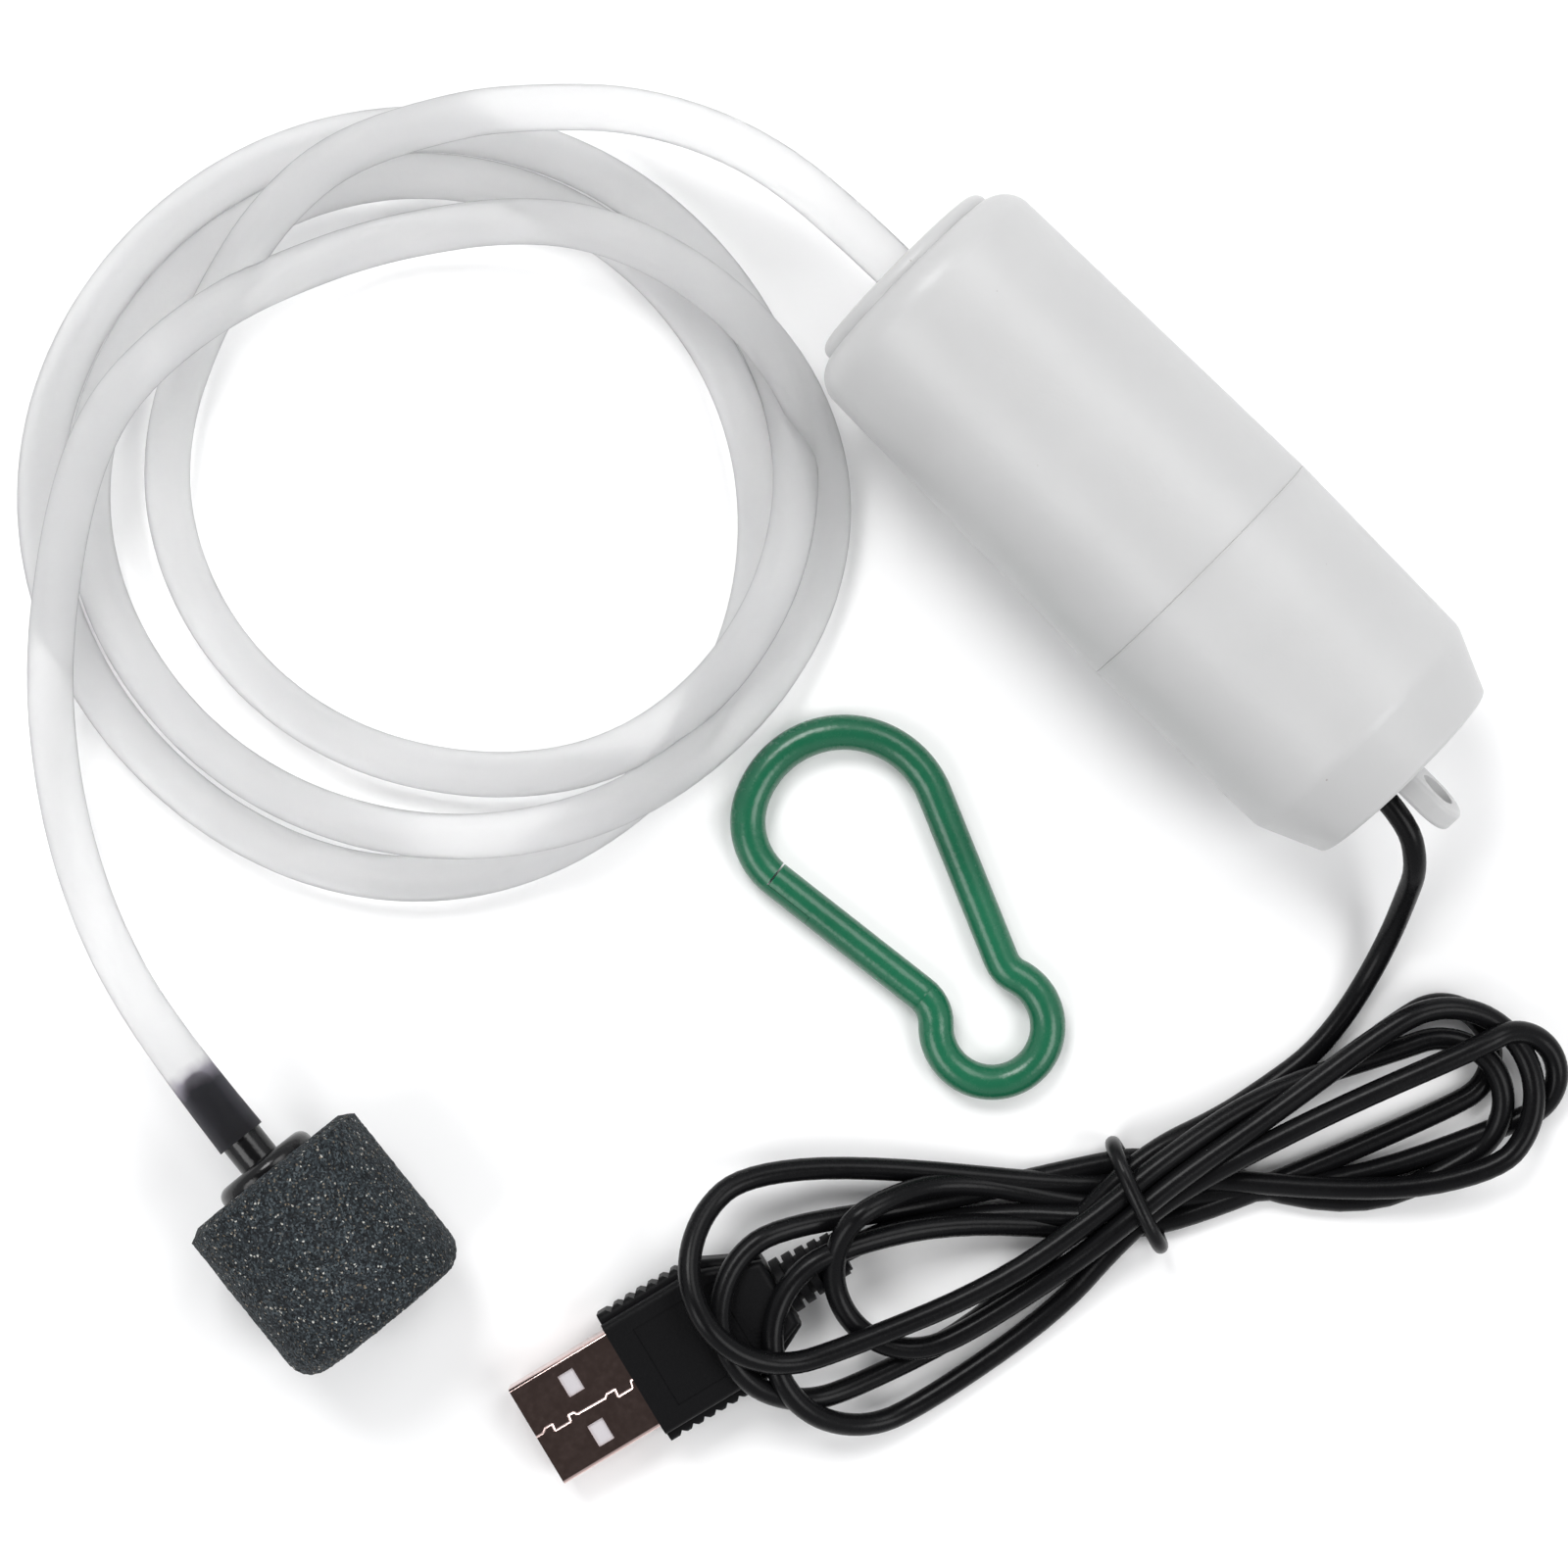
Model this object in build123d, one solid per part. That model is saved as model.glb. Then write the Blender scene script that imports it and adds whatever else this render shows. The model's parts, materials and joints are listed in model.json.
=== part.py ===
from build123d import *
import math
import os

# Small USB aquarium air pump: a capsule-shaped case with a motor and a three-chamber
# diaphragm pump inside, a silicone air hose with an air stone on its end, a USB cable
# folded into a tied hank, and a loose green snap clip.
#
# Frame, in millimetres: the pump lies on its side on the floor plane z = 0, its long
# axis along X at z = AXIS_Z, the air outlet toward +X and the hanging eye toward -X.

os.makedirs("parts", exist_ok=True)

# ---- Case -------------------------------------------------------------------------
AXIS_Z = 15.5            # height of the case axis; the widest rim rests on the floor
SEAM_A = -7.2            # where the two shells meet, along X
SEAM_R = 15.5            # outer radius at the seam, the widest place
FRONT_R = 14.65          # outer radius of the drafted front barrel at its shoulder
SHOULDER_A = 36.6        # face of the outlet shoulder
SHOULDER_FILLET = 3.6
DISC_FILLET = 1.2
SEAM_CHAMFER = 0.08      # on each shell, so the seam shows as a fine groove
DISC_R = 11.8            # raised round outlet disc
OUTLET_A = 38.0          # outer face of the disc
OUTLET_HOLE_R = 2.6
OUTLET_HOLE_FILLET = 0.4
REAR_R = 15.05           # outer radius where the rear chamfer starts
CHAMFER_A = -31.0
CHAMFER_FILLET = 3.0
FLAT_R = 12.0            # radius of the flat rear end
REAR_A = -38.0
REAR_FILLET = 0.7
REAR_WALL = 2.0
REAR_BORE_R = 10.4       # inner radius at the rear wall
BORE_R = 13.0            # inner radius of both shells
LIP_R = 13.85            # spigot of the rear cover
LIP_A = -3.2             # end of the spigot
LIP_CLEARANCE = 0.05
SEAL_A = -2.4            # inner shoulder of the front shell, where the seal sits
FRONT_WALL_A = 34.2      # inside face of the outlet end

# ---- Hanging eye on the flat rear end ------------------------------------------------
EYE_WIDTH = 7.4
EYE_THICKNESS = 2.6
EYE_LENGTH = 7.6
EYE_HOLE_R = 2.1
EYE_FILLET = 0.6
EYE_ROLL = 18.0          # degrees from upright, about X, its -Y face turned up

# ---- Motor ------------------------------------------------------------------------
CAN_R = 10.2
CAN_BORE_R = 9.5
MOTOR_REAR_A = -16.0
MOTOR_FRONT_A = 9.0
CAN_WALL = 0.8
SHAFT_R = 1.0
RUNNING_GAP = 0.03
BUSH_R = 2.4
BOSS_R = 3.1
BOSS_A = 10.2
MAGNET_R = 7.6
CORE_R = 7.0
CORE_HALF = 6.0
CORE_SLOT_NECK = (3.2, 1.4)      # outward and around the core
CORE_SLOT_ROOM = (1.6, 3.6)
COMMUTATOR_R = 2.3
COMMUTATOR_REAR_A = -12.8
COMMUTATOR_FRONT_A = -8.4
SHAFT_REAR_A = -17.4
SHAFT_FRONT_A = 13.0
MAGNET_REAR_A = -8.0
MAGNET_FRONT_A = 7.0
MAGNET_GAP = 7.0         # between the two magnets, where the can is bare
BOLT_CIRCLE_R = 7.0      # the two screws that hold the motor to the pump head
BOLT_R = 0.8
BOLT_HEAD_R = 1.3
BOLT_HEAD_HEIGHT = 0.5
TERMINAL_Y = 6.0
TERMINAL_WIDTH = 2.4
TERMINAL_THICKNESS = 0.5
TERMINAL_REAR_A = -21.0
TERMINAL_FRONT_A = -12.0
CAPACITOR_R = 3.2
CAPACITOR_THICKNESS = 2.2
CAPACITOR_LEG_R = 0.3
CAPACITOR_LEG_PITCH = 5.0
MOTOR_WIRE_R = 0.5

# ---- Diaphragm pump ------------------------------------------------------------------
HEAD_R = 11.6
CRANKCASE_BORE_R = 9.8
CRANKCASE_END_A = 19.0
WHEEL_R = 5.0
WHEEL_REAR_A = 10.9
WHEEL_FRONT_A = 15.4
TILT = 9.0               # degrees between the crank pin and the motor axis
APEX_A = 20.0            # where the crank pin's axis crosses the motor axis
PIN_R = 0.6
SLEEVE_GAP = 0.05
CUP_CIRCLE_R = 6.2
CUP_R = 3.1
STEM_R = 0.75
ARM_HOLE_R = 1.3
HOLDER_END_A = 24.5
DIAPHRAGM_END_A = 25.3
VALVE_PLATE_END_A = 27.3
COVER_END_A = 31.0
NIPPLE_END_A = 37.4
CUP_ANGLES = (0, 120, 240)
CUP_END_A = 22.6         # outer end of the cups, toward the motor
BUTTON_A = 16.9
CUP_FLOOR = 0.6          # rubber between a cup's hollow and its outer end
CUP_BORE_R = 2.5
BUTTON_R = 1.7           # end of each cup's stem, behind the rocker's arm
PORT_R = 0.4             # air holes through the valve plate
VALVE_STEM_R = 0.5
OUTLET_STEM_R = 0.6
FLAP_THICKNESS = 0.5
SCREW_CIRCLE_R = 10.55
SCREW_R = 0.5
SCREW_HEAD_R = 0.95
SCREW_HEAD_HEIGHT = 0.8
SCREW_ANGLES = (60, 180, 300)

# ---- Air hose -----------------------------------------------------------------------
HOSE_R = 2.5
HOSE_BORE_R = 1.5
NIPPLE_R = 1.45
COIL_CENTRE = (57.8, 51.8)
COIL_OUTER_R = 45.0
COIL_INNER_R = 27.0
COIL_HEIGHT = 9.5
COIL_FILLET = 2.2
HOSE_LEAD = [
    (31.2, 0, 15.5),
    (46, 0, 15.5),
    (59, 1.5, 13.4),
    (71, 7, 10.2),
    (80, 15.5, 8.0),
    (84.7, 21.3, 7.4),
]
HOSE_TAIL = [
    (77.6, 90.4, 7.2),
    (70.4, 98.8, 4.2),
    (60.2, 106.4, 4.3),
    (48.9, 111.3, 8.3),
    (36.51, 114.23, 11.15),
    (22.6, 115.8, 11.15),
]

# ---- Air stone and its connector -----------------------------------------------------
STONE_R = 11.15
STONE_LENGTH = 20.6
STONE_CHAMFER = (1.55, 0.9)     # at the connector's end: across, along
STONE_ROUNDING = 3.0
SOCKET_R = 1.8           # hole in the stone for the connector's spigot
HOSE_END = (22.6, 115.8, 11.15)
STONE_AXIS = (-0.9937, 0.112, 0)
NECK_R = 2.35
COLLAR_R = 5.9
COLLAR_START = 3.1
COLLAR_FILLET = 1.3
STONE_START = 4.6
BARB_LENGTH = 7.4        # full-size part of the stem inside the hose
TIP_LENGTH = 8.6
TIP_R = 0.95
AIRWAY_R = 0.6

# ---- USB cable ------------------------------------------------------------------------
CABLE_R = 1.25
CABLE_Y = 3.2
CABLE_HOLE_R = 1.95
GROMMET_R = 1.9
GROMMET_FLANGE_R = 2.9
CABLE_LEAD = [
    (-34, 3.2, 15.5),
    (-41.6, 3.2, 15.5),
    (-46.4, 5.8, 13.3),
    (-48.6, 8.8, 8.2),
    (-50.8, 12.6, 4.0),
    (-52.6, 17.4, 1.8),
    (-53.8, 22.6, 1.4),
    (-54.2, 28.0, 1.4),
]
HANK_HEIGHT = 7.3
HANK_WAIST = (-51.1, 52.2)
HANK_WAIST_R = 5.3
HANK_RIGHT = [(-69.6, 14.2, 5.4), (-72.6, 24.0, 4.6), (-59.5, 17.5, 4.0), (-66.0, 34.5, 4.5)]
HANK_LEFT = [(-26.3, 88.0, 5.2), (-41.0, 89.3, 5.4), (-27.5, 79.5, 5.0), (-41.5, 64.5, 3.0)]
HANK_OVER_PLUG_Z = 12.2
TIE_AXIS_ANGLE = 70.0    # degrees; the hank's run through the tie, from above
TIE_WIDTH = 1.7
TIE_THICKNESS = 1.6
TIE_CORNER_R = 3.4

# ---- USB-A plug, length along its own x from the open end toward the cable ---------------
PLUG_TIP = (-23.0, 117.0)
PLUG_Z = 4.0
PLUG_ANGLE = -104.2
SHELL_WIDTH = 12.0
SHELL_HEIGHT = 4.5
SHELL_WALL = 0.3
SHELL_FILLET = 0.5
SHELL_EXPOSED = 12.4
SHELL_LENGTH = 16.4
WINDOW = (1.9, 2.6)      # size along and across the plug
WINDOW_AT = (6.3, 3.15)
# Dovetail seam along the middle of the shell's top: along and across the plug.
SHELL_SEAM = [
    (0, 0), (0.9, 0), (1.4, 0.36), (2.2, 0.36), (2.1, -0.45), (4.1, -0.45), (4.2, 0.3), (4.9, 0.25),
    (5.1, -0.12), (8.7, -0.2), (9.1, 0.1), (10.0, 0.1), (9.9, -0.8), (11.7, -0.8), (11.9, 0), (12.4, 0),
]
SEAM_GROOVE = (0.24, 0.045)      # width, depth
GRIP_END = 31.0
GRIP_TAPER_FROM = 24.0   # the grip narrows from here to its end
GRIP_END_WIDTH = 9.0
GRIP_WIDTH = 13.8        # without the ledges
GRIP_HEIGHT = 8.0
GRIP_FILLET = 0.8
LEDGE_WIDTH = 16.0       # serrated ledges along the grip's long sides
LEDGE_HEIGHT = 4.8
SERRATIONS = 8
SERRATION_FROM = 1.6     # from the grip's open end
SERRATION_PITCH = 1.45
SERRATION_SIZE = 0.7
RELIEF_END = 38.9
RELIEF_R = 2.3
RIBS = 5
RIB_R = 3.2              # first rib; each next one is smaller by RIB_STEP
RIB_STEP = 0.15
RIB_PITCH = 1.55
PANEL_FROM = 15.2        # shallow recess in the grip's top
PANEL_TO = 25.4
PANEL_WIDTH = 9.6
PANEL_DEPTH = 0.15
CONTACT = (7.6, 1.0, 0.2)
CONTACT_PLACES = (-3.5, -1.0, 1.0, 3.5)

# ---- Snap clip, bent from one round wire, lying flat ------------------------------------
WIRE_R = 1.95
CLIP_BIG = (-0.2, 46.4)
CLIP_SMALL = (-27.0, 50.3)
CLIP_BIG_R = 10.7
CLIP_SMALL_R = 6.15
LEG_TAPER = 15.0         # degrees between each leg and the clip's long axis
SPINE_BEND_R = 3.4
GATE_BEND_R = 4.2
GATE_OFFSET = 8.95       # gate leg's centre line from the big loop's centre
NOSE_LEAVES = 215.0      # where the nose leaves the big loop's circle for a tighter arc
NOTCH_X = -2.96          # slit between nose and gate, along the gate from its offset's foot
TONGUE_END = 2.9         # end of the tongue that backs the gate's tip, along the gate
TONGUE_OFFSET = 1.0      # from the gate's centre line to the tongue's inner face
GATE_GAP = 0.04          # round the hinge
NOTCH_GAP = 0.2          # slit between nose and gate tip


def on_axis(shape):
    """Turn a shape built along local Z onto the pump axis."""
    return Pos(0, 0, AXIS_Z) * Rot(0, 90, 0) * shape


def turned(points):
    """Revolve an outline of (radius, axial place) points about the pump axis."""
    return revolve(Plane.XZ * make_face(Polyline(*points, close=True)), Axis.Z)


def tube(r_out, r_in, a_start, a_end):
    """Round tube between two axial places; a solid rod when r_in is 0."""
    body = Pos(0, 0, a_start) * extrude(Circle(r_out), a_end - a_start)
    if r_in > 0:
        body -= Pos(0, 0, a_start - 1) * extrude(Circle(r_in), a_end - a_start + 2)
    return body


def rod_at(radius, angle, r, a_start, a_end):
    """Rod parallel to the pump axis, off the axis by radius at angle."""
    x = radius * math.cos(math.radians(angle))
    y = radius * math.sin(math.radians(angle))
    return Pos(x, y, a_start) * extrude(Circle(r), a_end - a_start)


def rim_edges(shape, a_low, a_high):
    """Circular edges whose centre lies between two axial places."""
    return shape.edges().filter_by(GeomType.CIRCLE).filter_by_position(Axis.Z, a_low, a_high)


def save(name, shape):
    """Write one named piece."""
    shape.label = name
    export_step(shape, "parts/" + name + ".step")


def bend_radii(points, name, radius):
    """Radius of each corner's arc, as large as its two runs allow, and a printout."""
    radii = []
    for before, corner, after in zip(points, points[1:], points[2:]):
        run_in = Vector(*corner) - Vector(*before)
        run_out = Vector(*after) - Vector(*corner)
        turn = math.radians(run_in.get_angle(run_out))
        radii.append(0.45 * min(run_in.length, run_out.length) / math.tan(turn / 2))
    print(name, "bend radii in diameters:", [round(r / (2 * radius), 1) for r in radii])
    return radii


def cord_tube(points, name, r_out, r_in):
    """Tube along straight runs joined by tangent arcs."""
    path = FilletPolyline(*points, radius=bend_radii(points, name, r_out))
    section = Circle(r_out)
    if r_in > 0:
        section -= Circle(r_in)
    body = sweep(Plane(origin=path @ 0, z_dir=path % 0) * section, path=path)
    area = math.pi * (r_out ** 2 - r_in ** 2)
    ratio = body.volume / (area * path.length)
    print(name, "length", round(path.length, 1), "volume ratio", round(ratio, 4))
    return body


# ==== Case ==============================================================================

def make_front_case():
    shell = turned([
        (LIP_R + LIP_CLEARANCE, SEAM_A), (SEAM_R - SEAM_CHAMFER, SEAM_A), (SEAM_R, SEAM_A + SEAM_CHAMFER),
        (FRONT_R, SHOULDER_A), (0, SHOULDER_A), (0, FRONT_WALL_A), (BORE_R, FRONT_WALL_A),
        (BORE_R, SEAL_A), (LIP_R + LIP_CLEARANCE, SEAL_A),
    ])
    shell = fillet(rim_edges(shell, SHOULDER_A - 0.1, SHOULDER_A + 0.1), SHOULDER_FILLET)
    disc = tube(DISC_R, 0, SHOULDER_A - 1, OUTLET_A)
    disc = fillet(rim_edges(disc, OUTLET_A - 0.1, OUTLET_A + 0.1), DISC_FILLET)
    hole = tube(OUTLET_HOLE_R, 0, FRONT_WALL_A - 1, OUTLET_A + 1)
    body = shell + disc - hole
    hole_rim = rim_edges(body, OUTLET_A - 0.05, OUTLET_A + 0.05).sort_by(SortBy.RADIUS)[0]
    return on_axis(fillet(hole_rim, OUTLET_HOLE_FILLET))


def make_eye():
    """Flat lug with a round end and a hole, standing on the rear face."""
    centre = -(EYE_LENGTH - EYE_WIDTH / 2)
    outline = Pos(centre, 0) * Circle(EYE_WIDTH / 2)
    outline += Pos(centre / 2 + 0.5, 0) * Rectangle(-centre + 1, EYE_WIDTH)
    outline -= Pos(centre, 0) * Circle(EYE_HOLE_R)
    lug = Pos(0, 0, -EYE_THICKNESS / 2) * extrude(outline, EYE_THICKNESS)
    rims = lug.faces().filter_by(Axis.Z).edges().filter_by(GeomType.CIRCLE)
    lug = fillet(rims.filter_by(lambda edge: edge.radius > EYE_HOLE_R + 0.5), EYE_FILLET)
    return Pos(REAR_A, 0, AXIS_Z) * Rot(90 - EYE_ROLL, 0, 0) * lug


def make_rear_cover():
    outer = turned([
        (0, SEAM_A), (SEAM_R - SEAM_CHAMFER, SEAM_A), (SEAM_R, SEAM_A - SEAM_CHAMFER),
        (REAR_R, CHAMFER_A), (FLAT_R, REAR_A), (0, REAR_A),
    ])
    outer = fillet(rim_edges(outer, REAR_A - 0.1, REAR_A + 0.1), REAR_FILLET)
    outer = fillet(rim_edges(outer, CHAMFER_A - 0.1, CHAMFER_A + 0.1), CHAMFER_FILLET)
    outer += tube(LIP_R, 0, SEAM_A - 1, LIP_A)
    outer -= turned([
        (0, LIP_A + 1), (BORE_R, LIP_A + 1), (BORE_R, CHAMFER_A + 0.6),
        (REAR_BORE_R, REAR_A + REAR_WALL), (0, REAR_A + REAR_WALL),
    ])
    cover = on_axis(outer) + make_eye()
    cable_hole = Pos(REAR_A - 1, CABLE_Y, AXIS_Z) * Rot(0, 90, 0) * extrude(Circle(CABLE_HOLE_R), 4)
    return cover - cable_hole


def make_cable_grommet():
    bush = Pos(REAR_A - 0.3, CABLE_Y, AXIS_Z) * Rot(0, 90, 0) * extrude(Circle(GROMMET_R), 3.5)
    flange = extrude(Circle(GROMMET_FLANGE_R), 1.2)
    flange = Pos(REAR_A + REAR_WALL, CABLE_Y, AXIS_Z) * Rot(0, 90, 0) * flange
    bore = Pos(REAR_A - 1, CABLE_Y, AXIS_Z) * Rot(0, 90, 0) * extrude(Circle(CABLE_R), 6)
    return bush + flange - bore


# ==== Motor =============================================================================

def make_motor_can():
    can = tube(CAN_R, CAN_BORE_R, MOTOR_REAR_A, MOTOR_FRONT_A - CAN_WALL)
    can += tube(CAN_R, 0, MOTOR_FRONT_A - CAN_WALL, MOTOR_FRONT_A)
    can += tube(BOSS_R, 0, MOTOR_FRONT_A, BOSS_A)
    can -= tube(BUSH_R, 0, MOTOR_FRONT_A - 2, BOSS_A + 1)
    for side in (0, 180):
        can -= rod_at(BOLT_CIRCLE_R, side, BOLT_R, MOTOR_FRONT_A - 2, MOTOR_FRONT_A + 1)
    return on_axis(can)


def make_motor_end_cap():
    cap = tube(CAN_BORE_R, BUSH_R, MOTOR_REAR_A, MOTOR_REAR_A + 2)
    cap += tube(3.6, BUSH_R, MOTOR_REAR_A - 1.2, MOTOR_REAR_A)
    for side in (-1, 1):
        cap -= Pos(0, TERMINAL_Y * side, MOTOR_REAR_A) * Box(TERMINAL_WIDTH, TERMINAL_THICKNESS, 8)
    return on_axis(cap)


def make_magnets():
    ring = tube(CAN_BORE_R, MAGNET_R, MAGNET_REAR_A, MAGNET_FRONT_A)
    return on_axis(ring - Box(3 * CAN_R, MAGNET_GAP, 20))


def make_armature():
    core = tube(CORE_R, SHAFT_R, -CORE_HALF, CORE_HALF)
    for arm in range(3):
        slot = Pos(5.6, 0, 0) * Box(*CORE_SLOT_NECK, 20) + Pos(4.2, 0, 0) * Box(*CORE_SLOT_ROOM, 20)
        core -= Rot(0, 0, 60 + 120 * arm) * slot
    return on_axis(core)


def make_brushes():
    brushes = []
    for side in (-1, 1):
        block_part = Pos(0, 3.3 * side, -10.5) * Box(1.6, 1.9, 2.4)
        spring = Pos(0, 4.4 * side, -11.6) * Box(1.6, 0.3, 4.7)
        brushes.append(on_axis(block_part + spring))
    return Compound(children=brushes)


def make_terminals():
    middle = (TERMINAL_REAR_A + TERMINAL_FRONT_A) / 2
    tab = Box(TERMINAL_WIDTH, TERMINAL_THICKNESS, TERMINAL_FRONT_A - TERMINAL_REAR_A)
    return on_axis(Pos(0, TERMINAL_Y, middle) * tab + Pos(0, -TERMINAL_Y, middle) * tab)


def make_capacitor():
    disc = Pos(2.6, 0, -24.5) * Rot(0, 90, 0) * extrude(Circle(CAPACITOR_R), CAPACITOR_THICKNESS)
    for side in (-1, 1):
        disc += Pos(3.7, side * CAPACITOR_LEG_PITCH / 2, -21.6) * Cylinder(CAPACITOR_LEG_R, 5)
    return on_axis(disc)


def make_wire(side):
    """Insulated wire from the end of the cable to one motor terminal."""
    points = [
        (-33.9, CABLE_Y + 0.6 * side, AXIS_Z), (-30, CABLE_Y + 0.7 * side, AXIS_Z - 1),
        (-26, 4.9 * side + 0.4, AXIS_Z - 1.4), (-21.1, 5.7 * side, AXIS_Z),
    ]
    return cord_tube(points, "motor wire", MOTOR_WIRE_R, 0)


# ==== Diaphragm pump =====================================================================

def make_crankcase():
    wall = tube(HEAD_R, CRANKCASE_BORE_R, BOSS_A, CRANKCASE_END_A)
    wall += tube(HEAD_R, BOSS_R, MOTOR_FRONT_A, BOSS_A)
    for side in (0, 180):
        wall -= rod_at(BOLT_CIRCLE_R, side, BOLT_R, MOTOR_FRONT_A - 1, BOSS_A + 1)
    return on_axis(wall - screw_holes())


def screw_holes():
    rods = [rod_at(SCREW_CIRCLE_R, corner, SCREW_R, 14, OUTLET_A) for corner in SCREW_ANGLES]
    return rods[0] + rods[1] + rods[2]


def crank_pin_line(shape):
    """Put a shape built along local Z, with its zero at the apex, on the tilted pin axis."""
    return Pos(0, 0, APEX_A) * Rot(0, TILT, 0) * shape


def make_eccentric_wheel():
    wheel = tube(WHEEL_R, 0, WHEEL_REAR_A, WHEEL_FRONT_A)
    wheel -= tube(SHAFT_R, 0, WHEEL_REAR_A - 1, SHAFT_FRONT_A)
    wheel -= crank_pin_line(tube(PIN_R, 0, -6.6, 0))
    return on_axis(wheel)


def make_swing_frame():
    """Three-armed rocker; its sleeve turns on the crank pin and its arms pull the cups."""
    sleeve = tube(1.9, 0, -3.9, -0.7)
    plate = tube(3.0, 0, -0.7, 0.7)
    for arm in CUP_ANGLES:
        reach = Pos(CUP_CIRCLE_R / 2, 0, 0) * Box(CUP_CIRCLE_R, 2.6, 1.4)
        pad = Pos(CUP_CIRCLE_R, 0, -0.7) * extrude(Circle(2.2), 1.4)
        hole = Pos(CUP_CIRCLE_R, 0, -1) * extrude(Circle(ARM_HOLE_R), 2)
        plate += Rot(0, 0, arm) * (reach + pad)
        plate -= Rot(0, 0, arm) * hole
    frame = sleeve + plate - tube(PIN_R + SLEEVE_GAP, 0, -5, 0.1)
    return on_axis(crank_pin_line(frame))


def make_diaphragm_holder():
    ring = tube(HEAD_R, 9.2, CRANKCASE_END_A, 22.4)
    plate = tube(HEAD_R, 0, 22.4, HOLDER_END_A)
    for cup in CUP_ANGLES:
        plate -= rod_at(CUP_CIRCLE_R, cup, CUP_R, 22, 25)
    return on_axis(ring + plate - screw_holes())


def make_diaphragm():
    """Rubber sheet with three cups; each cup has a stem with a button on its end."""
    sheet = tube(HEAD_R, 0, HOLDER_END_A, DIAPHRAGM_END_A)
    for cup in CUP_ANGLES:
        sheet += rod_at(CUP_CIRCLE_R, cup, CUP_R, CUP_END_A, HOLDER_END_A + 0.1)
        sheet += rod_at(CUP_CIRCLE_R, cup, STEM_R, BUTTON_A + 0.3, CUP_END_A + 0.1)
        sheet += rod_at(CUP_CIRCLE_R, cup, BUTTON_R, BUTTON_A, BUTTON_A + 0.8)
        sheet -= rod_at(CUP_CIRCLE_R, cup, CUP_BORE_R, CUP_END_A + CUP_FLOOR, DIAPHRAGM_END_A + 1)
    return on_axis(sheet - screw_holes())


def make_valve_plate():
    plate = tube(HEAD_R, 0, DIAPHRAGM_END_A, VALVE_PLATE_END_A)
    for cup in CUP_ANGLES:
        plate -= rod_at(CUP_CIRCLE_R, cup, VALVE_STEM_R, 25, 28)
        plate -= rod_at(CUP_CIRCLE_R + 1.5, cup, PORT_R, 25, 28)
        plate -= rod_at(CUP_CIRCLE_R - 1.9, cup, PORT_R, 25, 28)
    plate -= tube(OUTLET_STEM_R, 0, 25, 28)
    return on_axis(plate - screw_holes())


def make_intake_valves():
    valves = []
    for cup in CUP_ANGLES:
        flap = rod_at(CUP_CIRCLE_R, cup, 2.1, DIAPHRAGM_END_A - FLAP_THICKNESS, DIAPHRAGM_END_A)
        flap += rod_at(CUP_CIRCLE_R, cup, VALVE_STEM_R, DIAPHRAGM_END_A, VALVE_PLATE_END_A)
        valves.append(on_axis(flap))
    return Compound(children=valves)


def make_outlet_valve():
    flap = tube(4.8, 0, VALVE_PLATE_END_A, VALVE_PLATE_END_A + FLAP_THICKNESS)
    return on_axis(flap + tube(OUTLET_STEM_R, 0, DIAPHRAGM_END_A, VALVE_PLATE_END_A))


def make_pump_cover():
    cover = tube(HEAD_R, 0, VALVE_PLATE_END_A, COVER_END_A)
    cover -= tube(5.6, 0, VALVE_PLATE_END_A - 1, VALVE_PLATE_END_A + 1.9)
    for cup in CUP_ANGLES:
        cover -= rod_at(CUP_CIRCLE_R + 1.5, cup, 0.6, 27, 32)
    cover += tube(NIPPLE_R, 0, COVER_END_A - 1, NIPPLE_END_A)
    cover -= tube(0.7, 0, VALVE_PLATE_END_A, NIPPLE_END_A + 1)
    return on_axis(cover - screw_holes())


def make_head_screws():
    screws = []
    head_end = COVER_END_A + SCREW_HEAD_HEIGHT
    for corner in SCREW_ANGLES:
        screw = rod_at(SCREW_CIRCLE_R, corner, SCREW_R, 15, COVER_END_A)
        screw += rod_at(SCREW_CIRCLE_R, corner, SCREW_HEAD_R, COVER_END_A, head_end)
        screws.append(on_axis(screw))
    return Compound(children=screws)


def make_motor_screws():
    screws = []
    for side in (0, 180):
        screw = rod_at(BOLT_CIRCLE_R, side, BOLT_R, MOTOR_FRONT_A - 1.6, BOSS_A)
        screw += rod_at(BOLT_CIRCLE_R, side, BOLT_HEAD_R, BOSS_A, BOSS_A + BOLT_HEAD_HEIGHT)
        screws.append(on_axis(screw))
    return Compound(children=screws)


# ==== Air hose, stone and connector =======================================================

def make_hose_coil():
    """Outer shape of the loose coil: a flat ring as high as its crossing turns."""
    ring = extrude(Circle(COIL_OUTER_R) - Circle(COIL_INNER_R), COIL_HEIGHT)
    rims = ring.edges().filter_by_position(Axis.Z, COIL_HEIGHT - 0.1, COIL_HEIGHT + 0.1)
    ring = fillet(rims, COIL_FILLET)
    return Pos(COIL_CENTRE[0], COIL_CENTRE[1], 0) * ring


def on_stone_axis(shape):
    return Plane(origin=HOSE_END, z_dir=STONE_AXIS) * shape


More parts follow.
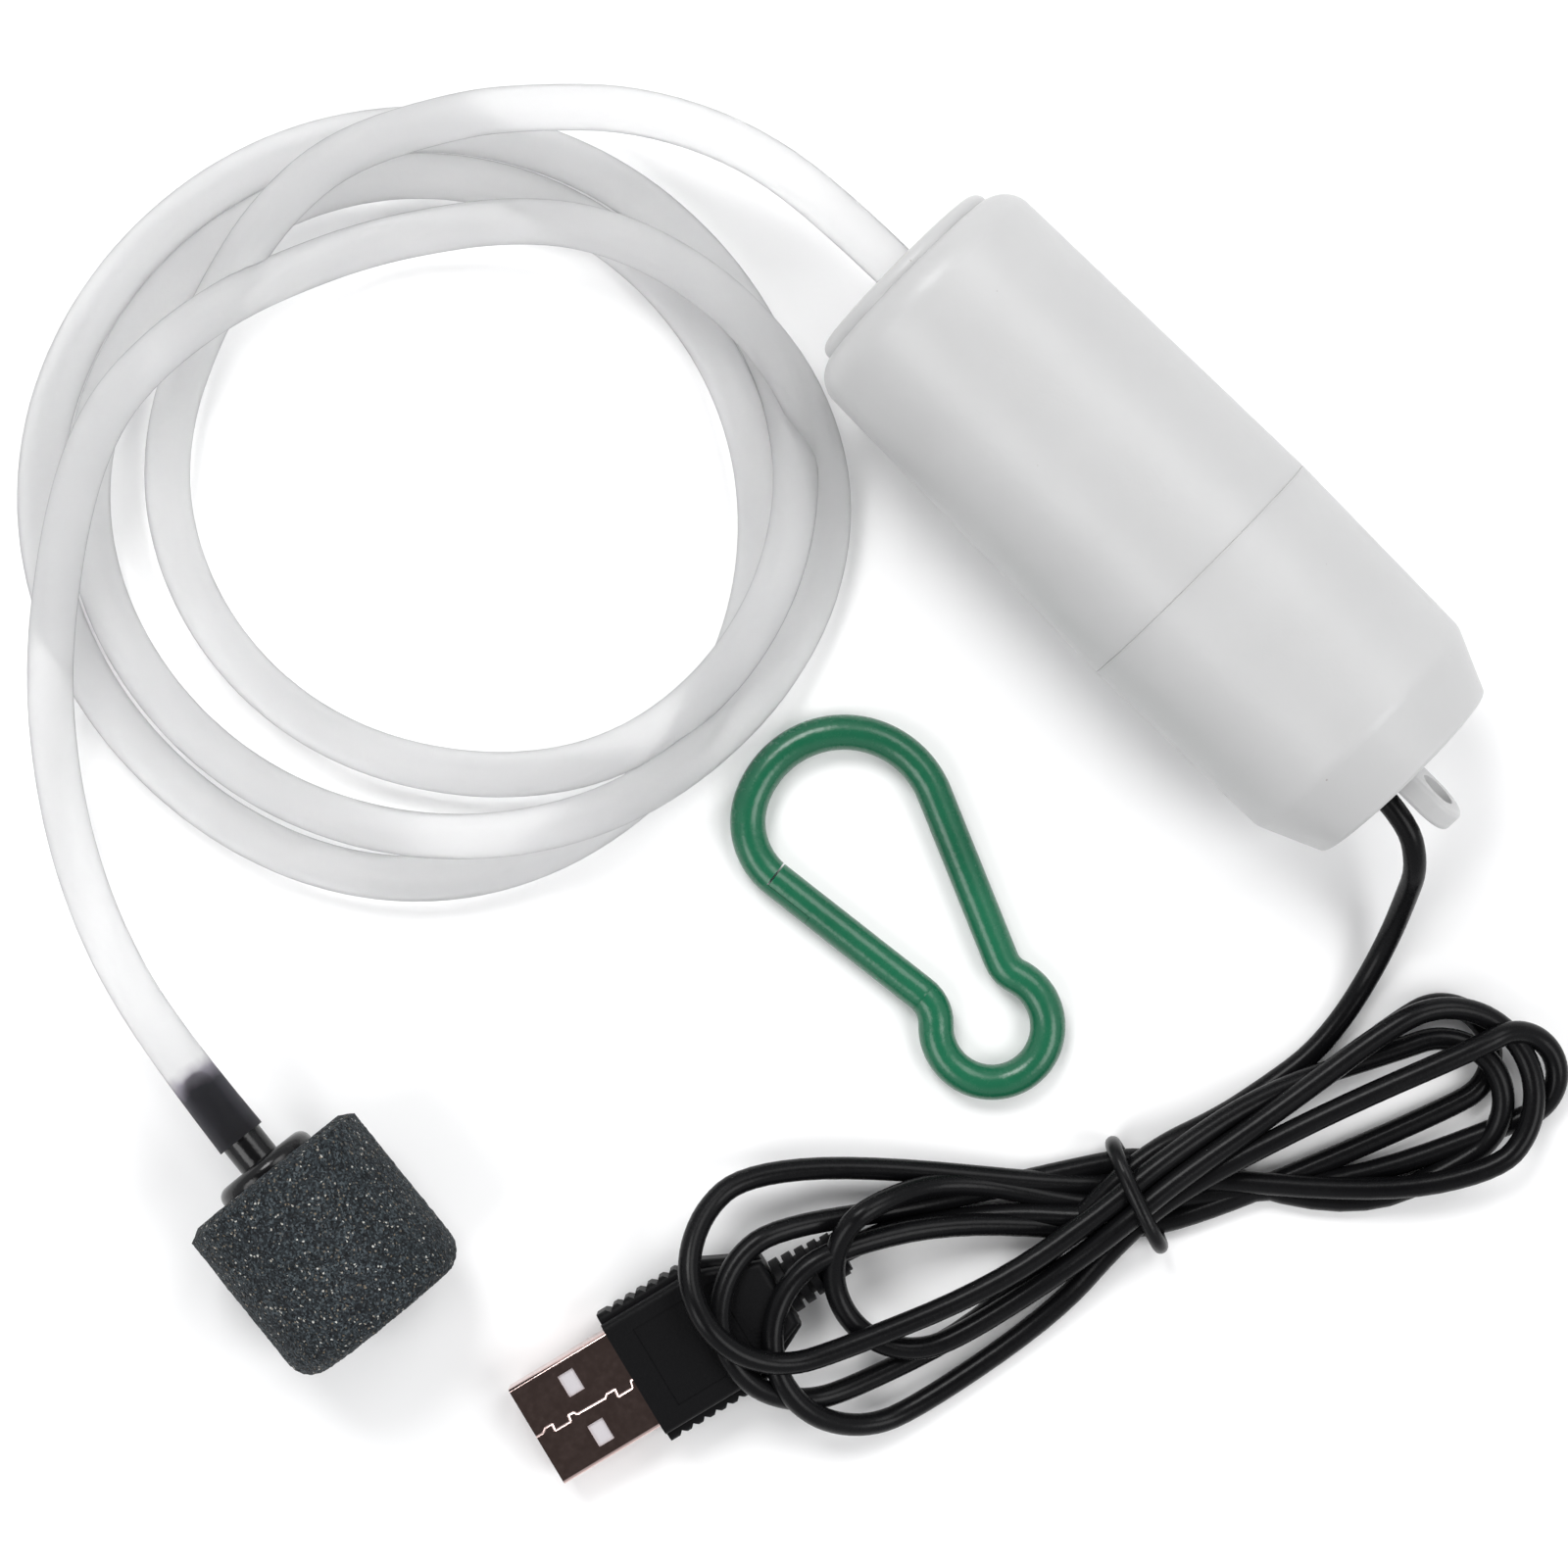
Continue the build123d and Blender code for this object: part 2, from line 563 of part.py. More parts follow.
def make_stone_stem():
    """Barbed stem inside the hose, plain neck, and the domed collar on the stone."""
    stem = turned([
        (0, 0.1), (NIPPLE_R, 0.1), (NIPPLE_R, -BARB_LENGTH), (TIP_R, -TIP_LENGTH), (0, -TIP_LENGTH),
    ])
    stem += tube(NECK_R, 0, 0, COLLAR_START + 0.5)
    collar = tube(COLLAR_R, 0, COLLAR_START, STONE_START)
    collar = fillet(rim_edges(collar, COLLAR_START - 0.1, COLLAR_START + 0.1), COLLAR_FILLET)
    stem += collar
    stem += tube(SOCKET_R, 0, STONE_START - 0.1, STONE_START + 7)
    stem -= tube(AIRWAY_R, 0, -TIP_LENGTH - 1, STONE_START + 8)
    return on_stone_axis(stem)


def make_air_stone():
    far_end = STONE_START + STONE_LENGTH
    stone = turned([
        (0, STONE_START), (STONE_R - STONE_CHAMFER[0], STONE_START),
        (STONE_R, STONE_START + STONE_CHAMFER[1]), (STONE_R, far_end), (0, far_end),
    ])
    stone = fillet(rim_edges(stone, far_end - 0.1, far_end + 0.1), STONE_ROUNDING)
    stone -= tube(SOCKET_R, 0, STONE_START - 1, STONE_START + 10)
    return on_stone_axis(stone)


# ==== USB cable and plug ====================================================================

def in_plug(shape):
    return Pos(PLUG_TIP[0], PLUG_TIP[1], PLUG_Z) * Rot(0, 0, PLUG_ANGLE) * shape


def block(x_start, x_end, width, z_low, z_high):
    """Box along the plug, centred across it."""
    middle = ((x_start + x_end) / 2, 0, (z_low + z_high) / 2)
    return Pos(*middle) * Box(x_end - x_start, width, z_high - z_low)


def make_usb_shell():
    half = SHELL_HEIGHT / 2
    shell = block(0, SHELL_LENGTH, SHELL_WIDTH, -half, half)
    shell = fillet(shell.edges().filter_by(Axis.X), SHELL_FILLET)
    inside = half - SHELL_WALL
    shell -= block(-1, SHELL_LENGTH - 0.4, SHELL_WIDTH - 2 * SHELL_WALL, -inside, inside)
    for side in (-1, 1):
        shell -= Pos(WINDOW_AT[0], side * WINDOW_AT[1], 0) * Box(*WINDOW, SHELL_HEIGHT + 2)
    for start, end in zip(SHELL_SEAM, SHELL_SEAM[1:]):
        shell -= seam_groove(start, end)
    return in_plug(shell)


def seam_groove(start, end):
    """Straight, shallow V groove in the shell's top."""
    width, depth = SEAM_GROOVE
    length = math.dist(start, end)
    along = ((end[0] - start[0]) / length, (end[1] - start[1]) / length)
    profile = Polygon((-width / 2, 0), (0, -depth), (width / 2, 0), (0, depth), align=None)
    plane = Plane(origin=(*start, SHELL_HEIGHT / 2), x_dir=(-along[1], along[0], 0), z_dir=(*along, 0))
    return plane * extrude(profile, length)


def make_usb_tongue():
    inside = SHELL_HEIGHT / 2 - SHELL_WALL
    tongue = block(0.6, SHELL_LENGTH - 0.4, SHELL_WIDTH - 2 * SHELL_WALL, 0.1, inside)
    for place in CONTACT_PLACES:
        tongue -= contact_strip(place)
    return in_plug(tongue)


def contact_strip(place):
    return Pos(5.0, place, 0.2) * Box(*CONTACT)


def make_usb_contacts():
    return Compound(children=[in_plug(contact_strip(place)) for place in CONTACT_PLACES])


def grip_slab(width, end_width, height):
    """Flat block with a tapered end, its top and bottom edges rounded."""
    outline = Polygon(
        (SHELL_EXPOSED, -width / 2), (GRIP_TAPER_FROM, -width / 2), (GRIP_END, -end_width / 2),
        (GRIP_END, end_width / 2), (GRIP_TAPER_FROM, width / 2), (SHELL_EXPOSED, width / 2), align=None,
    )
    slab = Pos(0, 0, -height / 2) * extrude(outline, height)
    rims = slab.edges().filter_by(Plane.XY)
    return fillet(rims.filter_by_position(Axis.X, SHELL_EXPOSED + 0.1, GRIP_END + 1), GRIP_FILLET)


def make_usb_overmold():
    """Soft grip with serrated ledges, a shallow panel, and a ribbed strain relief."""
    half = GRIP_HEIGHT / 2
    ledges = grip_slab(LEDGE_WIDTH, GRIP_END_WIDTH, LEDGE_HEIGHT)
    notch = Rot(0, 0, 45) * Box(SERRATION_SIZE, SERRATION_SIZE, 20)
    for groove in range(SERRATIONS):
        place = SHELL_EXPOSED + SERRATION_FROM + SERRATION_PITCH * groove
        for side in (-1, 1):
            ledges -= Pos(place, side * LEDGE_WIDTH / 2, 0) * notch
    grip = ledges + grip_slab(GRIP_WIDTH, GRIP_END_WIDTH - 1, GRIP_HEIGHT)
    grip -= block(PANEL_FROM, PANEL_TO, PANEL_WIDTH, half - PANEL_DEPTH, half + 1)
    relief = Rot(0, 90, 0) * tube(RELIEF_R, 0, GRIP_END - 1, RELIEF_END)
    for rib in range(RIBS):
        start = GRIP_END + 0.3 + RIB_PITCH * rib
        relief += Rot(0, 90, 0) * tube(RIB_R - RIB_STEP * rib, 0, start, start + 1.0)
    body = grip + relief
    body -= block(SHELL_EXPOSED - 1, SHELL_LENGTH, SHELL_WIDTH, -SHELL_HEIGHT / 2, SHELL_HEIGHT / 2)
    return in_plug(body)


def plug_envelope():
    """Space that the hank leaves free for the plug under it."""
    grip = block(-1, GRIP_END + 0.3, LEDGE_WIDTH + 0.4, -PLUG_Z - 1, GRIP_HEIGHT / 2 + 0.2)
    relief = block(GRIP_END, RELIEF_END, 7.0, -PLUG_Z - 1, 3.6)
    return in_plug(grip + relief)


def lobe(circles, height):
    """Prism over the hull of some circles and the hank's waist."""
    outline = [Pos(x, y) * CenterArc((0, 0), r, 0, 360) for x, y, r in circles]
    outline.append(Pos(*HANK_WAIST) * CenterArc((0, 0), HANK_WAIST_R, 0, 360))
    return extrude(make_face(make_hull(Curve(outline).edges())), height)


def make_cable_hank():
    """Outer shape of the folded cable: two lobes with a waist, arched over the plug."""
    right = lobe(HANK_RIGHT, HANK_HEIGHT)
    left = lobe(HANK_LEFT, HANK_HEIGHT)
    over_plug = lobe(HANK_LEFT, HANK_OVER_PLUG_Z) & in_plug(block(10, 30, 24, -10, 12))
    return right + left + over_plug - plug_envelope() - make_cable_tie()


def make_cable_tie():
    """Loop of black wire round the waist of the hank."""
    width = 2 * HANK_WAIST_R + 0.1
    height = HANK_HEIGHT + TIE_THICKNESS
    outer = RectangleRounded(width + 2 * TIE_THICKNESS, height + TIE_THICKNESS, TIE_CORNER_R)
    inner = Pos(0, -TIE_THICKNESS / 2 + 0.75) * Rectangle(width, HANK_HEIGHT + 0.1)
    loop = Pos(0, 0, -TIE_WIDTH / 2) * extrude(outer, TIE_WIDTH)
    loop -= Pos(0, 0, -TIE_WIDTH) * extrude(inner, 2 * TIE_WIDTH)
    turn = math.radians(TIE_AXIS_ANGLE)
    direction = Vector(math.cos(turn), math.sin(turn), 0)
    across = Vector(-direction.Y, direction.X, 0)
    origin = (HANK_WAIST[0], HANK_WAIST[1], (height + TIE_THICKNESS) / 2)
    return Plane(origin=origin, x_dir=across, z_dir=direction) * loop


# ==== Snap clip ============================================================================

# The clip's own plane has its origin at the centre of the big loop, its x axis toward the
# centre of the small loop and its y axis toward the closed spine leg.
CLIP_DX = CLIP_SMALL[0] - CLIP_BIG[0]
CLIP_DY = CLIP_SMALL[1] - CLIP_BIG[1]
CLIP_PITCH = math.hypot(CLIP_DX, CLIP_DY)
CLIP_ANGLE = math.degrees(math.atan2(CLIP_DY, CLIP_DX))


def in_clip(shape):
    return Pos(CLIP_BIG[0], CLIP_BIG[1], WIRE_R) * Rot(0, 0, CLIP_ANGLE) * shape


def polar(centre, radius, angle):
    turn = math.radians(angle)
    return (centre[0] + radius * math.cos(turn), centre[1] + radius * math.sin(turn))


def leg_points(side, leg_offset, bend_r):
    """Ends of one straight leg, the middle of its bend, and where the small loop starts.

    The leg's line passes leg_offset from the big loop's centre and meets the small loop
    through a bend the other way, whose centre is bend_r outside the leg and bend_r
    beyond the loop. The start is the foot of leg_offset on the line."""
    taper = math.radians(LEG_TAPER)
    start = (leg_offset * math.sin(taper), side * leg_offset * math.cos(taper))
    along = (math.cos(taper), -side * math.sin(taper))
    out = (math.sin(taper), side * math.cos(taper))
    offset = (start[0] + out[0] * bend_r - CLIP_PITCH, start[1] + out[1] * bend_r)
    half_b = offset[0] * along[0] + offset[1] * along[1]
    rest = offset[0] ** 2 + offset[1] ** 2 - (CLIP_SMALL_R + bend_r) ** 2
    reach = -half_b - math.sqrt(half_b ** 2 - rest)
    end = (start[0] + along[0] * reach, start[1] + along[1] * reach)
    centre = (end[0] + out[0] * bend_r, end[1] + out[1] * bend_r)
    gap = math.hypot(CLIP_PITCH - centre[0], centre[1])
    joint = (
        centre[0] + (CLIP_PITCH - centre[0]) * bend_r / gap,
        centre[1] - centre[1] * bend_r / gap,
    )
    middle = Vector(end[0] + joint[0] - 2 * centre[0], end[1] + joint[1] - 2 * centre[1], 0).normalized()
    mid = (centre[0] + middle.X * bend_r, centre[1] + middle.Y * bend_r)
    return start, end, mid, joint


def wire(path):
    return sweep(Plane(origin=path @ 0, z_dir=path % 0) * Circle(WIRE_R), path=path)


SPINE = leg_points(1, CLIP_BIG_R, SPINE_BEND_R)
GATE = leg_points(-1, GATE_OFFSET, GATE_BEND_R)
HINGE = GATE[1]          # root of the gate leg


def nose_arc():
    """Middle and end of the arc that leads the nose from the big loop onto the gate's line.

    It leaves the loop's circle tangentially and ends tangent to the line."""
    taper = math.radians(LEG_TAPER)
    across = (math.sin(taper), -math.cos(taper))
    leaves = math.radians(NOSE_LEAVES)
    share = math.cos(leaves) * across[0] + math.sin(leaves) * across[1]
    radius = (GATE_OFFSET - CLIP_BIG_R * share) / (1 - share)
    centre = polar((0, 0), CLIP_BIG_R - radius, NOSE_LEAVES)
    last = math.degrees(math.atan2(across[1], across[0])) % 360
    return polar(centre, radius, (NOSE_LEAVES + last) / 2), polar(centre, radius, last)


def in_gate(shape):
    """Place a shape in the gate leg's frame: zero at its foot, x along the leg."""
    return Pos(GATE[0][0], GATE[0][1], 0) * Rot(0, 0, LEG_TAPER) * shape


def gate_space(x_start, y_low):
    """Space that the gate's tip takes: from x_start on, above y_low, in the leg's frame."""
    length = TONGUE_END + 4 - x_start
    return in_gate(Pos(x_start + length / 2, y_low + 4, 0) * Box(length, 8, 8))


def make_clip_wire():
    """Nose with its tongue, big loop, spine and small loop as far as the hinge."""
    nose_from = polar((0, 0), CLIP_BIG_R, NOSE_LEAVES)
    nose_mid, nose_end = nose_arc()
    back = polar((0, 0), CLIP_BIG_R, 150)
    spine_start, spine_end, spine_mid, spine_joint = SPINE
    gate_end, gate_mid, gate_joint = GATE[1:]
    far = (CLIP_PITCH + CLIP_SMALL_R, 0)
    along = (math.cos(math.radians(LEG_TAPER)), math.sin(math.radians(LEG_TAPER)))
    tongue_tip = (GATE[0][0] + along[0] * TONGUE_END, GATE[0][1] + along[1] * TONGUE_END)
    path = Wire([
        Line(tongue_tip, nose_end),
        ThreePointArc(nose_end, nose_mid, nose_from),
        ThreePointArc(nose_from, back, spine_start),
        Line(spine_start, spine_end),
        ThreePointArc(spine_end, spine_mid, spine_joint),
        ThreePointArc(spine_joint, far, gate_joint),
        ThreePointArc(gate_joint, gate_mid, gate_end),
    ])
    return wire(path)


def make_clip_body():
    """The bent wire without its gate: the tip's space and the hinge's hollow are cut out."""
    body = make_clip_wire() - gate_space(NOTCH_X, -TONGUE_OFFSET)
    body -= Pos(HINGE[0], HINGE[1], 0) * Sphere(WIRE_R + GATE_GAP)
    return in_clip(body)


def make_clip_gate():
    """The springy leg; its round root sits in the hollow end of the small loop."""
    leg_length = math.dist(GATE[0], GATE[1])
    leg = in_gate(wire(Line((TONGUE_END + GATE_GAP, 0), (leg_length, 0))))
    tip = in_gate(wire(Line((NOTCH_X + NOTCH_GAP, 0), (TONGUE_END + 1, 0))))
    leg += tip & gate_space(NOTCH_X, -TONGUE_OFFSET + GATE_GAP)
    return in_clip(leg + Pos(HINGE[0], HINGE[1], 0) * Sphere(WIRE_R))


# ==== Write every piece =======================================================================

save("front_case", make_front_case())
save("rear_cover", make_rear_cover())
save("case_seal", on_axis(tube(LIP_R, BORE_R + 0.1, LIP_A, SEAL_A)))
save("cable_grommet", make_cable_grommet())

save("motor_can", make_motor_can())
save("motor_end_cap", make_motor_end_cap())
save("front_bushing", on_axis(tube(BUSH_R, SHAFT_R + RUNNING_GAP, MOTOR_FRONT_A - 1.8, BOSS_A)))
save("rear_bushing", on_axis(tube(BUSH_R, SHAFT_R + RUNNING_GAP, MOTOR_REAR_A - 1.0, MOTOR_REAR_A + 2)))
save("magnets", make_magnets())
save("armature", make_armature())
save("motor_shaft", on_axis(tube(SHAFT_R, 0, SHAFT_REAR_A, SHAFT_FRONT_A)))
save("commutator", on_axis(tube(COMMUTATOR_R, SHAFT_R, COMMUTATOR_REAR_A, COMMUTATOR_FRONT_A)))
save("brushes", make_brushes())
save("terminals", make_terminals())
save("capacitor", make_capacitor())
save("wire_red", make_wire(1))
save("wire_black", make_wire(-1))
save("motor_sleeve", on_axis(tube(BORE_R - 0.1, CAN_R, -15, 8)))

save("crankcase", make_crankcase())
save("motor_screws", make_motor_screws())
save("eccentric_wheel", make_eccentric_wheel())
save("crank_pin", on_axis(crank_pin_line(tube(PIN_R, 0, -6.6, -0.4))))
save("swing_frame", make_swing_frame())
save("diaphragm_holder", make_diaphragm_holder())
save("diaphragm", make_diaphragm())
save("valve_plate", make_valve_plate())
save("intake_valves", make_intake_valves())
save("outlet_valve", make_outlet_valve())
save("pump_cover", make_pump_cover())
save("head_screws", make_head_screws())
save("head_damper", on_axis(tube(BORE_R - 0.1, HEAD_R, 20, 24)))

save("hose_lead", cord_tube(HOSE_LEAD, "hose lead", HOSE_R, HOSE_BORE_R))
save("hose_coil", make_hose_coil())
save("hose_tail", cord_tube(HOSE_TAIL, "hose tail", HOSE_R, HOSE_BORE_R))
save("stone_stem", make_stone_stem())
save("air_stone", make_air_stone())

save("cable_lead", cord_tube(CABLE_LEAD, "cable lead", CABLE_R, 0))
save("cable_hank", make_cable_hank())
save("cable_tie", make_cable_tie())
save("usb_shell", make_usb_shell())
save("usb_tongue", make_usb_tongue())
save("usb_contacts", make_usb_contacts())
save("usb_overmold", make_usb_overmold())

save("clip_body", make_clip_body())
save("clip_gate", make_clip_gate())
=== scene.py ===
import json
import math

import bmesh
import bpy
from mathutils import Matrix, Vector, noise


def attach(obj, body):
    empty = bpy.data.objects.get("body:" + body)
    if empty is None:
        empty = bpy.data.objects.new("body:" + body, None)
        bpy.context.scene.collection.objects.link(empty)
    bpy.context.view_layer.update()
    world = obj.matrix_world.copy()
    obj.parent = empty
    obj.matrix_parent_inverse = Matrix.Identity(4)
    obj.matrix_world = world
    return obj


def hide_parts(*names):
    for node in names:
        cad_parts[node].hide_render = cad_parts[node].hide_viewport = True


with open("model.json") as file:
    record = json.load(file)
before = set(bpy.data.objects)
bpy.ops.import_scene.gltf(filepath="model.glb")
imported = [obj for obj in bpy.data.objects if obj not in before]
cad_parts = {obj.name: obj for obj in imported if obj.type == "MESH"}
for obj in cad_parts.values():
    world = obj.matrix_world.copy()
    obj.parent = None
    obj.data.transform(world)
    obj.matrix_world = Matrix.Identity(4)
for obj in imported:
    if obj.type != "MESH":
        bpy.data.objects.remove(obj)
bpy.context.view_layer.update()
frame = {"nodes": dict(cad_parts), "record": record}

MM = 0.001

# ---- Camera ---------------------------------------------------------------------------
CAMERA_AT = (8.0, 47.5, 465.3)       # straight above the middle of the picture
CAMERA_TURN = 224.8                  # degrees about the vertical
FOCAL_PER_WIDTH = 2.6875             # distance over the width of view at that distance
SENSOR = 36.0                        # millimetres
SKY_STRENGTH = 0.70
# Studio lights: right and up from the picture's middle and height above the floor in
# metres, then the disk's diameter in metres and the power in watts.
LIGHTS = {
    "key": (-0.32, 0.64, 0.95, 0.50, 6.6),
    "fill": (0.72, -0.25, 0.95, 0.65, 4.8),
    "back": (-0.64, -0.46, 0.95, 0.65, 4.4),
    "side": (0.48, 0.62, 0.95, 0.65, 3.6),
}
FLOOR_SIZE = 6.0

# ---- Hose -----------------------------------------------------------------------------
HOSE_R = 2.5
HOSE_CLEARANCE = 0.05                # between the coil and the floor
HOSE_LEAD = [
    (31.2, 0, 15.5),
    (46, 0, 15.5),
    (59, 1.5, 13.4),
    (71, 7, 10.2),
    (80, 15.5, 8.0),
    (84.7, 21.3, 7.4),
]
HOSE_TAIL = [
    (77.6, 90.4, 7.2),
    (70.4, 98.8, 4.2),
    (60.2, 106.4, 4.3),
    (48.9, 111.3, 8.3),
    (36.51, 114.23, 11.15),
    (22.6, 115.8, 11.15),
]
COIL_CENTRE = (57.8, 51.8)
COIL_START = 314.8                   # direction of the first reading from the centre, degrees
# Radius of the coil's centre line at each eighth of a turn, one row a turn.
COIL_RADII = [
    40.1, 31.8, 29.3, 28.3, 30.3, 36.2, 39.7, 39.1,
    39.8, 41.4, 43.4, 42.7, 42.5, 38.9, 35.6, 33.9,
    34.7, 36.3, 38.2, 37.3, 37.6, 40.8, 43.4, 35.6,
    28.6, 29.4, 38.5,
]
EIGHTH = 45.0
COIL_STEP = 15.0                     # degrees between the spline's points
# Where the hose passes over itself: from, to (degrees of turn from the start) and height.
COIL_HUMPS = [
    (-30, 32, 7.8), (233, 262, 7.7), (908, 940, 7.7), (1014, 1052, 7.8), (1128, 1200, 8.3),
]
COIL_RAMP = 26.0

# ---- Cable ------------------------------------------------------------------------------
CABLE_R = 1.25
CABLE_LEAD = [
    (-34, 3.2, 15.5),
    (-41.6, 3.2, 15.5),
    (-46.4, 5.8, 13.3),
    (-48.6, 8.8, 8.2),
    (-50.8, 12.6, 4.0),
    (-52.6, 17.4, 1.8),
    (-53.8, 22.6, 1.4),
    (-54.2, 28.0, 1.4),
    (-53.2, 34.0, 1.4),
    (-51.8, 40.0, 2.4),
]
CABLE_TAIL = [
    (-43.6, 62.6, 2.2),
    (-38.6, 68.8, 1.8),
    (-35.0, 73.6, 3.2),
    (-33.2, 77.4, 4.0),
    (-31.9, 81.8, 4.0),
]
WAIST = (-51.1, 52.2)
WAIST_ANGLE = 70.0
TIE_WIDTH = 10.7
TIE_HEIGHT = 7.4
TIE_R = 0.85
TIE_POINTS = 20
TIE_SQUARENESS = 0.75                # 1 for an ellipse, less for a squarer ring
TIE_LEAN = 0.4                       # how far the ring's top leans along the hank
# The hank's folds in the cable's order: the point on the way out, the tip's circle
# (centre, radius) with its first and last angle, and the point on the way back, all with
# heights, then where the cable goes back and forth through the tie (across, height).
FOLDS = [
    dict(out=(-49.6, 73.5, 1.4), tip=(-34.4, 86.5, 9.6), arc=(165, -25), z=(3.4, 9.8, 7.6),
         back=(-34.9, 70.5, 1.6), across=(-3.9, 1.3)),
    dict(out=(-69.8, 37.2, 1.3), tip=(-67.6, 21.6, 7.0), arc=(165, 350), z=(1.6, 3.8, 3.8),
         back=(-53.1, 34.2, 4.2), across=(-1.3, 6.0)),
    dict(out=(-46.9, 70.4, 6.2), tip=(-29.0, 84.5, 10.4), arc=(165, -20), z=(8.0, 12.0, 6.0),
         back=(-27.2, 71.2, 4.4), across=(-1.3, 1.3)),
    dict(out=(-70.3, 33.0, 3.8), tip=(-67.4, 20.6, 9.6), arc=(170, 352), z=(4.6, 4.4, 6.3),
         back=(-55.4, 34.4, 5.6), across=(1.3, 6.0)),
    dict(out=(-50.8, 66.0, 3.8), tip=(-39.4, 75.2, 8.7), arc=(165, -10), z=(3.9, 5.4, 9.2),
         back=(-35.4, 65.0, 3.0), across=(1.3, 1.3)),
    dict(out=(-67.0, 35.0, 1.3), tip=(-71.2, 13.9, 4.9), arc=(150, 360), z=(1.6, 3.6, 6.9),
         back=(-59.2, 31.2, 6.4), across=(2.6, 3.8)),
    dict(out=(-54.2, 68.0, 1.3), tip=(-40.6, 84.2, 9.9), arc=(165, -25), z=(1.6, 8.4, 7.6),
         back=(-38.6, 68.6, 3.8), across=(3.9, 1.3)),
    dict(out=(-64.0, 34.0, 1.3), tip=(-64.3, 17.6, 5.5), arc=(150, 352), z=(1.3, 1.3, 1.3),
         back=(-56.6, 31.0, 1.3), across=(0.0, 3.8)),
]
FIRST_PASS = (-2.6, 3.8)             # across and height of the lead's way through the tie
PASS_HALF = 4.0                      # half of the straight stretch through the tie
PASS_DRIFT = 1.1                     # sideways change on that half
ARC_POINTS = 7

# ---- Air stone --------------------------------------------------------------------------
STONE_END = Vector((22.6, 115.8, 11.15))
STONE_AXIS = Vector((-0.9937, 0.112, 0)).normalized()
STONE_R = 11.15
STONE_START = 4.6
STONE_LENGTH = 20.6
STONE_CHAMFER = (1.55, 0.9)          # across, along, at the connector's end
STONE_ROUNDING = 3.0
STONE_SIDES = 96
STONE_BANDS = 8                      # along the straight part
STONE_EDGE_STEPS = 5                 # round the edge
STONE_GRAIN = 0.15
STRETCH = 1.12                       # widening of the hose's end over the stem
STEM_REACH = 0.0155                  # metres; the stem shows through in half of this


# ==== Camera, floor and light ============================================================

def make_camera():
    data = bpy.data.cameras.new("camera")
    data.sensor_width = SENSOR
    data.lens = FOCAL_PER_WIDTH * SENSOR
    camera = bpy.data.objects.new("camera", data)
    bpy.context.scene.collection.objects.link(camera)
    camera.matrix_world = (
        Matrix.Translation(Vector(CAMERA_AT) * MM)
        @ Matrix.Rotation(math.radians(CAMERA_TURN), 4, "Z")
    )
    bpy.context.scene.camera = camera


def make_floor():
    bpy.ops.mesh.primitive_plane_add(size=FLOOR_SIZE, location=(0, 0, 0))
    floor = bpy.context.object
    floor.name = "floor"
    floor.data.materials.append(plain("floor_white", (0.93, 0.93, 0.93), roughness=0.75))


def area_light(name, place, target, size, watts):
    data = bpy.data.lights.new(name, "AREA")
    data.shape = "DISK"
    data.size = size
    data.energy = watts
    light = bpy.data.objects.new(name, data)
    bpy.context.scene.collection.objects.link(light)
    light.location = place
    light.rotation_euler = (Vector(target) - Vector(place)).to_track_quat("-Z", "Y").to_euler()


def in_picture(right, up, height):
    """Row-frame point right of and above the picture's middle, in metres."""
    turn = math.radians(CAMERA_TURN)
    x = CAMERA_AT[0] * MM + right * math.cos(turn) - up * math.sin(turn)
    y = CAMERA_AT[1] * MM + right * math.sin(turn) + up * math.cos(turn)
    return (x, y, height)


def make_sky():
    """Studio walls: bright all round, dim overhead where the camera stands."""
    world = bpy.data.worlds.new("studio")
    world.use_nodes = True
    tree = world.node_tree
    sky = tree.nodes["Background"]
    where = tree.nodes.new("ShaderNodeTexCoord")
    split = tree.nodes.new("ShaderNodeSeparateXYZ")
    tree.links.new(where.outputs["Generated"], split.inputs["Vector"])
    shade = add_ramp(tree, split.outputs["Z"], [
        (0.0, (0.97, 0.98, 1.0)), (0.72, (0.80, 0.81, 0.83)), (0.90, (0.075, 0.068, 0.065)),
    ])
    tree.links.new(shade, sky.inputs["Color"])
    sky.inputs["Strength"].default_value = SKY_STRENGTH
    bpy.context.scene.world = world


def make_light():
    middle = in_picture(0, 0, 0)
    for name, (right, up, height, size, watts) in LIGHTS.items():
        area_light(name, in_picture(right, up, height), middle, size, watts)
    make_sky()
    bpy.context.scene.view_settings.view_transform = "Standard"


# ==== Materials ============================================================================

def shader(name):
    material = bpy.data.materials.new(name)
    material.use_nodes = True
    return material, material.node_tree, material.node_tree.nodes["Principled BSDF"]


def plain(name, colour, roughness):
    material, _, bsdf = shader(name)
    bsdf.inputs["Base Color"].default_value = (*colour, 1)
    bsdf.inputs["Roughness"].default_value = roughness
    return material


def grey(value):
    return (value, value, value)


def add_noise(tree, scale, detail):
    """Noise in the object's own coordinates, where 1 is a metre."""
    where = tree.nodes.new("ShaderNodeTexCoord")
    texture = tree.nodes.new("ShaderNodeTexNoise")
    texture.inputs["Scale"].default_value = scale
    texture.inputs["Detail"].default_value = detail
    tree.links.new(where.outputs["Object"], texture.inputs["Vector"])
    return texture.outputs["Fac"]


def add_ramp(tree, source, stops):
    """Colour ramp over source; stops are (place, colour)."""
    ramp = tree.nodes.new("ShaderNodeValToRGB")
    elements = ramp.color_ramp.elements
    while len(elements) < len(stops):
        elements.new(0.5)
    for element, (place, colour) in zip(elements, stops):
        element.position = place
        element.color = (*colour, 1)
    tree.links.new(source, ramp.inputs["Fac"])
    return ramp.outputs["Color"]


